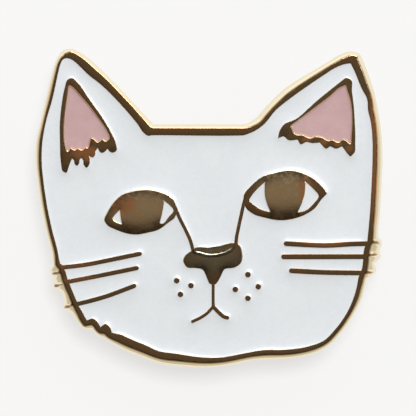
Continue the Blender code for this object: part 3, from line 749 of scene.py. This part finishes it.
def build_post(side):
    low, high, middle = box_in_mm(f"post_{side}")
    top, head_radius = high[2], (high[0] - low[0]) / 2
    neck = top - HEAD_DISC_THICKNESS
    cone = low[2] + NEEDLE_TIP_LENGTH
    groove = -GROOVE_DISTANCE
    profile = [
        (0, top),
        (0, low[2]),
        (NEEDLE_TIP_RADIUS, low[2]),
        (NEEDLE_RADIUS, cone),
        (NEEDLE_RADIUS, groove - GROOVE_WIDTH),
        (NEEDLE_RADIUS - GROOVE_DEPTH, groove - GROOVE_WIDTH + GROOVE_DEPTH),
        (NEEDLE_RADIUS - GROOVE_DEPTH, groove - GROOVE_DEPTH),
        (NEEDLE_RADIUS, groove),
        (NEEDLE_RADIUS, neck),
        (head_radius, neck),
        (head_radius, top),
    ]
    profile = rounded(profile, POST_CORNER)
    post = mesh_object(f"post_{side}_turned", *turned(profile, middle, 0, down=False))
    low, high, middle = box_in_mm(f"solder_{side}")
    inner = head_radius + FLOOR_GAP
    width = (high[0] - low[0]) / 2 - inner
    depth = high[2] - low[2]
    ring = [(inner, 0), (inner, depth)]
    for share in np.linspace(1 / FILLET_STEPS, 1, FILLET_STEPS):
        ring.append((inner + width * share, depth * (1 - share) ** FILLET_POWER * (1 - share / 10)))

    def wobble(angles, heights):
        waves = sum(size * np.sin(count * angles + start) for size, count, start in SOLDER_WAVES)
        outside = np.arange(len(heights)) > 1
        return 1 - (SOLDER_SHRINK + waves)[None, :] * ((1 - heights / depth) * outside)[:, None]

    solder = mesh_object(f"solder_{side}_fillet", *turned(ring, middle, high[2], wobble=wobble))
    return {"post": post, "solder": solder}


def build_shell(side):
    low, high, middle = box_in_mm(f"clutch_shell_{side}")
    rim = (high[0] - low[0]) / 2
    cap = high[2] - low[2]
    hole = NEEDLE_RADIUS + HOLE_CLEARANCE
    profile = [
        (rim - RIM_LIP, 0),
        (rim, 0),
        (rim, FLANGE_RISE),
        (CAP_RADIUS, FLANGE_RISE),
        (CAP_RADIUS, cap),
        (hole, cap),
        (hole, cap - SHEET),
        (CAP_RADIUS - SHEET, cap - SHEET),
        (CAP_RADIUS - SHEET, FLANGE_RISE - SHEET),
        (rim - SHEET, FLANGE_RISE - SHEET),
        (rim - SHEET, SHEET),
        (rim - RIM_LIP, SHEET),
    ]
    profile = rounded(profile, SHEET_CORNER)
    shell = mesh_object(f"clutch_shell_{side}_turned", *turned(profile, middle, high[2]))
    window = block(
        f"window_{side}",
        (middle[0] - WINDOW_HALF, -CAP_RADIUS - 1, high[2] - FLANGE_RISE - WINDOW_RISE),
        (middle[0] + WINDOW_HALF, CAP_RADIUS + 1, high[2] - FLANGE_RISE - WINDOW_SILL),
    )
    return with_cuts(shell, [window])


def build_disc(side):
    low, high, middle = box_in_mm(f"clutch_disc_{side}")
    near = high[2] - NIB_HEIGHT
    radius = (high[0] - low[0]) / 2
    hole = NEEDLE_RADIUS + DISC_HOLE_CLEARANCE
    profile = [(hole, 0), (radius, 0), (radius, SHEET), (hole, SHEET)]
    disc = mesh_object(f"clutch_disc_{side}_turned", *turned(rounded(profile, DISC_CORNER), middle, near))
    nibs = []
    for i in range(NIB_COUNT):
        angle = -2 * math.pi * (i + 0.25) / NIB_COUNT
        place = middle + np.array((math.cos(angle), math.sin(angle), 0)) * NIB_CIRCLE_RADIUS
        cone = [
            (0, -NIB_HEIGHT),
            (NIB_TIP_RADIUS, -NIB_HEIGHT),
            (NIB_WAIST_RADIUS, -NIB_WAIST * NIB_HEIGHT),
            (NIB_RADIUS, NIB_ROOT),
            (0, NIB_ROOT),
        ]
        nibs.append(mesh_object(f"nib_{side}_{i}", *turned(cone, place, near)))
    return with_cuts(disc, nibs, "UNION")


def wing_stations():
    """(out, height, half width) along a wing's sheet, from the jaw to the wing's end, on a smooth curve."""
    jaw = FLANGE_RISE + JAW_RISE
    outside = CAP_RADIUS + WING_SHEET / 2
    end_out, end_height = CAP_RADIUS + WING_REACH, FLANGE_RISE + WING_RISE
    knots = [
        (JAW_EDGE, jaw, WING_NECK * 0.8),
        (JAW_EDGE + 1.2, jaw, WING_NECK),
        (CAP_RADIUS - 0.25, jaw, WING_NECK),
        (outside + 0.15, jaw + 0.12, WING_NECK),
        (outside + 0.42, jaw + 0.45, WING_NECK),
        (outside + 0.5, jaw + 0.95, WING_NECK),
    ]
    bend_out, bend_height, _ = knots[-1]
    for share in (0.3, 0.6, 0.85, 1.0):
        knots.append(
            (
                bend_out + (end_out - bend_out) * share**1.25,
                bend_height + (end_height - bend_height) * share,
                WING_NECK + (WING_PAD - WING_NECK) * min(share / 0.6, 1),
            )
        )
    knots = np.array(knots)
    lengths = np.linalg.norm(np.diff(knots[:, :2], axis=0), axis=1)
    place = np.concatenate([[0], np.cumsum(lengths)])
    slopes = np.gradient(knots, place, axis=0)
    stations = []
    for i, length in enumerate(lengths):
        for share in np.arange(0, 1, 1 / max(2, round(length / WING_STEP))):
            stations.append(
                knots[i] * (2 * share**3 - 3 * share**2 + 1)
                + slopes[i] * length * (share**3 - 2 * share**2 + share)
                + knots[i + 1] * (3 * share**2 - 2 * share**3)
                + slopes[i + 1] * length * (share**3 - share**2)
            )
    stations.append(knots[-1])
    stations = np.array(stations)
    heights = stations[:, 1]
    corner = np.clip((heights - (end_height - WING_CORNER)) / WING_CORNER, 0, 1)
    stations[:, 2] -= WING_CORNER * (1 - np.sqrt(1 - corner**2))
    return stations


def build_wing(side, label):
    """One half of the spring clip, bent up from a strip whose edges are rounded."""
    toward = 1 if label == "upper" else -1
    middle = box_in_mm(f"wing_{side}_{label}")[2]
    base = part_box(f"clutch_shell_{side}")[1][2] / MM
    stations = wing_stations()
    along = np.gradient(stations[:, :2], axis=0)
    along /= np.linalg.norm(along, axis=1)[:, None]
    corner = np.linspace(0, math.pi / 2, CORNER_STEPS + 1)
    section = []
    for quarter in range(4):
        turn = quarter * math.pi / 2
        sign_x = 1 if quarter in (0, 3) else -1
        sign_z = 1 if quarter in (0, 1) else -1
        for angle in corner + turn:
            section.append((sign_x, sign_z, math.cos(angle), math.sin(angle)))
    points = []
    for i, (out, height, half) in enumerate(stations):
        for sign_x, sign_z, curve_x, curve_z in section:
            lift = sign_z * (WING_SHEET / 2 - WING_EDGE) + WING_EDGE * curve_z
            across = sign_x * (half - WING_EDGE) + WING_EDGE * curve_x
            points.append(
                (
                    middle[0] + across,
                    toward * (out - along[i][1] * lift),
                    base - (height + along[i][0] * lift),
                )
            )
    count = len(section)
    index = np.arange(len(points)).reshape(len(stations), count)
    quads = np.stack(
        [index[:-1], np.roll(index[:-1], -1, axis=1), np.roll(index[1:], -1, axis=1), index[1:]], axis=-1
    )
    faces = quads.reshape(-1, 4).tolist() + [index[0].tolist(), index[-1].tolist()]
    wing = mesh_object(f"wing_{side}_{label}_bent", np.array(points), faces)
    notch_radius = NEEDLE_RADIUS + JAW_NOTCH_CLEARANCE
    jaw = FLANGE_RISE + JAW_RISE
    low, high = jaw - WING_SHEET, jaw + WING_SHEET
    rod = [(0, low), (notch_radius, low), (notch_radius, high), (0, high)]
    notch = mesh_object(f"notch_{side}_{label}", *turned(rod, (middle[0], 0), base))
    return with_cuts(wing, [notch])


hardware = {}
for side in ("left", "right"):
    for kind, piece in build_post(side).items():
        hardware[f"{kind}_{side}"] = (piece, "pin")
    hardware[f"clutch_shell_{side}"] = (build_shell(side), f"{side}_clutch")
    hardware[f"clutch_disc_{side}"] = (build_disc(side), f"{side}_clutch")
    for label in ("upper", "lower"):
        hardware[f"wing_{side}_{label}"] = (build_wing(side, label), f"{side}_{label}_wing")
for node, (piece, body) in hardware.items():
    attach(piece, body)
    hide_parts(node)


# Materials


class Shader:
    """A new material's node tree, with short ways to add to it. Positions in it are in mm."""

    def __init__(self, name):
        self.material = bpy.data.materials.new(name)
        self.material.use_nodes = True
        self.tree = self.material.node_tree
        self.main = self.tree.nodes["Principled BSDF"]
        place = self.tree.nodes.new("ShaderNodeTexCoord")
        scaled = self.tree.nodes.new("ShaderNodeVectorMath")
        scaled.operation = "SCALE"
        scaled.inputs["Scale"].default_value = 1 / MM
        self.tree.links.new(place.outputs["Object"], scaled.inputs[0])
        self.place = scaled.outputs["Vector"]

    def set(self, **values):
        for key, value in values.items():
            self.main.inputs[key.replace("_", " ")].default_value = value

    def link(self, output, socket):
        self.tree.links.new(output, self.main.inputs[socket])

    def noise(self, per_mm, detail=2.0, stretch=(1.0, 1.0, 1.0)):
        """A noise with about this many features to a millimetre."""
        spread = self.tree.nodes.new("ShaderNodeVectorMath")
        spread.operation = "MULTIPLY"
        spread.inputs[1].default_value = stretch
        node = self.tree.nodes.new("ShaderNodeTexNoise")
        node.inputs["Scale"].default_value = per_mm
        node.inputs["Detail"].default_value = detail
        self.tree.links.new(self.place, spread.inputs[0])
        self.tree.links.new(spread.outputs["Vector"], node.inputs["Vector"])
        return node.outputs["Fac"]

    def ranged(self, value, low, high, to_low=0.0, to_high=1.0):
        node = self.tree.nodes.new("ShaderNodeMapRange")
        node.interpolation_type = "SMOOTHSTEP"
        ends = {"From Min": low, "From Max": high, "To Min": to_low, "To Max": to_high}
        for socket, number in ends.items():
            node.inputs[socket].default_value = number
        self.tree.links.new(value, node.inputs["Value"])
        return node.outputs["Result"]

    def along(self, x=0.0, y=0.0, z=0.0):
        """How far a place is along this direction, in mm."""
        node = self.tree.nodes.new("ShaderNodeVectorMath")
        node.operation = "DOT_PRODUCT"
        node.inputs[1].default_value = (x, y, z)
        self.tree.links.new(self.place, node.inputs[0])
        return node.outputs["Value"]

    def math(self, operation, first, second):
        node = self.tree.nodes.new("ShaderNodeMath")
        node.operation = operation
        for socket, value in zip(node.inputs, (first, second)):
            if isinstance(value, (int, float)):
                socket.default_value = value
            else:
                self.tree.links.new(value, socket)
        return node.outputs["Value"]

    def spot(self, x, y, reach_x, reach_y, strength):
        """A soft oval share round a place on the face."""
        apart = self.tree.nodes.new("ShaderNodeVectorMath")
        apart.operation = "MULTIPLY_ADD"
        apart.inputs[1].default_value = (1 / reach_x, 1 / reach_y, 0.0)
        apart.inputs[2].default_value = (-x / reach_x, -y / reach_y, 0.0)
        self.tree.links.new(self.place, apart.inputs[0])
        length = self.tree.nodes.new("ShaderNodeVectorMath")
        length.operation = "LENGTH"
        self.tree.links.new(apart.outputs["Vector"], length.inputs[0])
        return self.ranged(length.outputs["Value"], 0.4, 1.0, strength, 0.0)

    def mixed(self, share, first, second):
        """A colour between two, each an output or a linear RGB colour."""
        node = self.tree.nodes.new("ShaderNodeMix")
        node.data_type = "RGBA"
        for socket, value in zip((node.inputs[0], node.inputs[6], node.inputs[7]), (share, first, second)):
            if isinstance(value, tuple):
                socket.default_value = (*value, 1.0)
            else:
                self.tree.links.new(value, socket)
        return node.outputs[2]

    def bump(self, height, depth_mm, below=None):
        node = self.tree.nodes.new("ShaderNodeBump")
        node.inputs["Distance"].default_value = depth_mm * MM
        self.tree.links.new(height, node.inputs["Height"])
        if below is not None:
            self.tree.links.new(below, node.inputs["Normal"])
        return node.outputs["Normal"]


def plated_gold(name, base, tint, roughness, grain_depth):
    """Polished gold plating: slightly uneven in colour and polish, with fine scratches and soft waves."""
    shader = Shader(name)
    patches = shader.ranged(shader.noise(0.35), 0.42, 0.66, 0.0, 0.35)
    shader.colour = shader.mixed(patches, base, tint)
    shader.link(shader.colour, "Base Color")
    worn = shader.noise(3.0, 4.0)
    shader.link(shader.ranged(worn, 0.3, 0.7, roughness * 0.75, roughness * 1.35), "Roughness")
    waves = shader.bump(shader.noise(0.5, 1.0), 0.004)
    scratches = shader.bump(shader.noise(5.0, 3.0, (1.0, 0.15, 1.0)), grain_depth, waves)
    shader.link(scratches, "Normal")
    shader.set(Metallic=1.0)
    return shader


plate_gold = plated_gold("plate_gold", GOLD, RED_GOLD, 0.16, 0.0006)
# Painted reflections and shade, spot by spot from TONES.
for x, y, reach_x, reach_y, strength, tone in TONES:
    place = plate_gold.spot(x, y, reach_x, reach_y, strength)
    plate_gold.colour = plate_gold.mixed(place, plate_gold.colour, tone)
# Painted sheen: below a line's top, on the rounded edges and the shoulder, the metal is coloured paler, pale
# low down and yellow higher up
height = plate_gold.along(z=1.0)
painted_edge_sheen = plate_gold.ranged(height, line_top - SHEEN_FROM, line_top - SHEEN_TO, 1.0, 0.0)
up_the_shoulder = plate_gold.ranged(height, line_top - SHOULDER_SHEEN_FROM, line_top - SHOULDER_SHEEN_TO)
shoulder_sheen = plate_gold.mixed(up_the_shoulder, PALE_SHEEN, YELLOW_SHEEN)
plate_gold.colour = plate_gold.mixed(painted_edge_sheen, plate_gold.colour, shoulder_sheen)
# Painted shade darkens the folds where the whiskers run on over the shoulder.
for x, y, half, _ in FOLDS:
    fold_shade = plate_gold.spot(x, y, half + FOLD_SHADE_MARGIN, FOLD_SHADE_REACH, FOLD_SHADE_SHARE)
    plate_gold.colour = plate_gold.mixed(fold_shade, plate_gold.colour, FOLD_SHADE_BROWN)
plate_gold.link(plate_gold.colour, "Base Color")
plate.data.materials.append(plate_gold.material)


def enamel(name, base, other, per_mm):
    """Fired enamel: a glossy skin over a colour that is very slightly uneven."""
    shader = Shader(name)
    patches = shader.ranged(shader.noise(per_mm, 3.0), 0.35, 0.65)
    shader.link(shader.mixed(patches, base, other), "Base Color")
    shader.link(shader.ranged(shader.noise(1.5, 3.0), 0.3, 0.7, 0.22, 0.34), "Roughness")
    shader.link(shader.bump(shader.noise(0.3, 1.0), 0.03), "Coat Normal")
    shader.set(Coat_Weight=1.0, Coat_Roughness=0.14, Coat_IOR=1.5, Specular_IOR_Level=0.3)
    return shader


enamel_shaders = {"white": enamel("white_enamel", *WHITES, 0.5), "pink": enamel("pink_enamel", *PINKS, 0.7)}
for name, piece in enamels.items():
    colour = "pink" if "pink" in name else "white"
    piece.data.materials.append(enamel_shaders[colour].material)


def stamped_gold():
    """Bright plated brass with the fine rings that stamping and turning leave round each needle's axis."""
    shader = plated_gold("stamped_gold", STAMPED_GOLD, STAMPED_TINT, 0.2, 0.0006)
    spacing = abs(box_in_mm("post_left")[2][0])
    across = shader.math("SUBTRACT", shader.math("ABSOLUTE", shader.along(x=1.0), 0.0), float(spacing))
    up = shader.along(y=1.0)
    squares = [shader.math("MULTIPLY", value, value) for value in (across, up)]
    radius = shader.math("SQRT", shader.math("ADD", *squares), 0.0)
    rings = shader.tree.nodes.new("ShaderNodeTexNoise")
    rings.noise_dimensions = "1D"
    rings.inputs["Scale"].default_value = RINGS_PER_MM
    shader.tree.links.new(radius, rings.inputs["W"])
    shader.link(shader.bump(rings.outputs["Fac"], 0.0012), "Normal")
    return shader


def dull_solder():
    """Solder left as it set: grey, uneven and not polished."""
    shader = Shader("tin_solder")
    patches = shader.ranged(shader.noise(1.8, 4.0), 0.3, 0.7)
    shader.link(shader.mixed(patches, SOLDER_GREY, SOLDER_SHADE), "Base Color")
    shader.link(shader.ranged(shader.noise(3.0, 3.0), 0.3, 0.7, 0.32, 0.55), "Roughness")
    shader.link(shader.bump(shader.noise(4.0, 4.0), 0.02), "Normal")
    shader.set(Metallic=1.0)
    return shader


bright_gold = stamped_gold()
solder = dull_solder()
for node, (piece, body) in hardware.items():
    is_solder = node.startswith("solder")
    piece.data.materials.clear()
    piece.data.materials.append((solder if is_solder else bright_gold).material)


# The room: a dark ceiling straight above with bright walls round it, a lamp and a soft light

LOW, HIGH = (np.array(corner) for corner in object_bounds())


def build_floor():
    mesh = bpy.data.meshes.new("floor")
    bm = bmesh.new()
    bmesh.ops.create_grid(bm, x_segments=2, y_segments=2, size=FLOOR_SIZE / 2)
    bmesh.ops.translate(bm, verts=bm.verts, vec=(0, 0, float(LOW[2])))
    bm.to_mesh(mesh)
    bm.free()
    floor = bpy.data.objects.new("floor", mesh)
    bpy.context.scene.collection.objects.link(floor)
    shader = Shader("floor_paper")
    shader.link(shader.ranged(shader.noise(0.2, 2.0), 0.3, 0.7, 0.85, 0.95), "Roughness")
    shader.set(
        Base_Color=(*[FLOOR_DIFFUSE] * 3, 1.0),
        Emission_Color=(1.0, 1.0, 1.0, 1.0),
        Emission_Strength=FLOOR_GLOW,
        Specular_IOR_Level=0.0,
    )
    mesh.materials.append(shader.material)
    floor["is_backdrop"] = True
    return floor


floor = build_floor()

camera = bpy.data.objects.new("camera", bpy.data.cameras.new("camera"))
middle_x, middle_y = (LOW[:2] + HIGH[:2]) / 2 + CAMERA_SHIFT
camera.location = (middle_x, middle_y, CAMERA_HEIGHT)
camera.data.sensor_width = SENSOR
camera.data.lens = SENSOR * (CAMERA_HEIGHT - HIGH[2]) / FIELD
camera.data.clip_start = CAMERA_NEAR
bpy.context.scene.collection.objects.link(camera)
bpy.context.scene.camera = camera

world = bpy.data.worlds.new("room")
world.use_nodes = True
bpy.context.scene.world = world
tree = world.node_tree
direction = tree.nodes.new("ShaderNodeTexCoord").outputs["Generated"]


def world_node(kind, inputs=(), **settings):
    node = tree.nodes.new(kind)
    for key, value in settings.items():
        setattr(node, key, value)
    for index, value in inputs:
        if isinstance(value, bpy.types.NodeSocket):
            tree.links.new(value, node.inputs[index])
        else:
            node.inputs[index].default_value = value
    return node


def share_of(value, low, high):
    """From 0 at the low value to 1 at the high one, smoothly."""
    return world_node(
        "ShaderNodeMapRange",
        [(0, value), (1, low), (2, high), (3, 0.0), (4, 1.0)],
        interpolation_type="SMOOTHSTEP",
    ).outputs[0]


def toward(x, y, z):
    """The cosine of the angle between a place in the room and this direction."""
    there = Vector((x, y, z)).normalized()
    node = world_node("ShaderNodeVectorMath", [(0, direction), (1, there)], operation="DOT_PRODUCT")
    return node.outputs["Value"]


def blended(share, first, second):
    """A colour between two, each an output or a linear RGB colour."""
    ends = [value if isinstance(value, bpy.types.NodeSocket) else (*value, 1.0) for value in (first, second)]
    return world_node("ShaderNodeMix", [(0, share), (6, ends[0]), (7, ends[1])], data_type="RGBA").outputs[2]


walls = blended(share_of(toward(0.15, 1.0, 0.0), -0.2, 0.9), DIM_WALL, BRIGHT_WALL)
ceiling = blended(share_of(toward(0.01, 0.025, 1.0), 0.9915, 0.9993), DARK_CEILING, BROWN_CEILING)
room = blended(share_of(toward(-0.03, -0.08, 1.0), 0.86, 0.95), walls, ceiling)
tree.links.new(room, tree.nodes["Background"].inputs["Color"])
tree.nodes["Background"].inputs["Strength"].default_value = ROOM_STRENGTH


def aim(light, direction, distance):
    """Puts a light this far off in a direction and turns it to the pin."""
    direction = Vector(direction).normalized()
    light.location = direction * distance
    light.rotation_euler = direction.to_track_quat("Z", "Y").to_euler()


softbox = bpy.data.objects.new("softbox", bpy.data.lights.new("softbox", "AREA"))
softbox.data.shape = "RECTANGLE"
softbox.data.size, softbox.data.size_y = SOFTBOX_SIZE
softbox.data.energy = SOFTBOX_ENERGY
bpy.context.scene.collection.objects.link(softbox)
aim(softbox, SOFTBOX_DIRECTION, LIGHT_DISTANCE)
unlit = bpy.data.collections.new("unlit_by_softbox")
unlit.objects.link(floor)
unlit.collection_objects[0].light_linking.link_state = "EXCLUDE"
softbox.light_linking.receiver_collection = unlit

lamp = bpy.data.objects.new("lamp", bpy.data.lights.new("lamp", "SUN"))
lamp.data.energy = LAMP_ENERGY
lamp.data.angle = LAMP_ANGLE
lamp.visible_glossy = False
lit_by_lamp = bpy.data.collections.new("lit_by_lamp")
lit_by_lamp.objects.link(floor)
lamp.light_linking.receiver_collection = lit_by_lamp
bpy.context.scene.collection.objects.link(lamp)
aim(lamp, LAMP_DIRECTION, LIGHT_DISTANCE)

bpy.context.scene.view_settings.view_transform = "Standard"
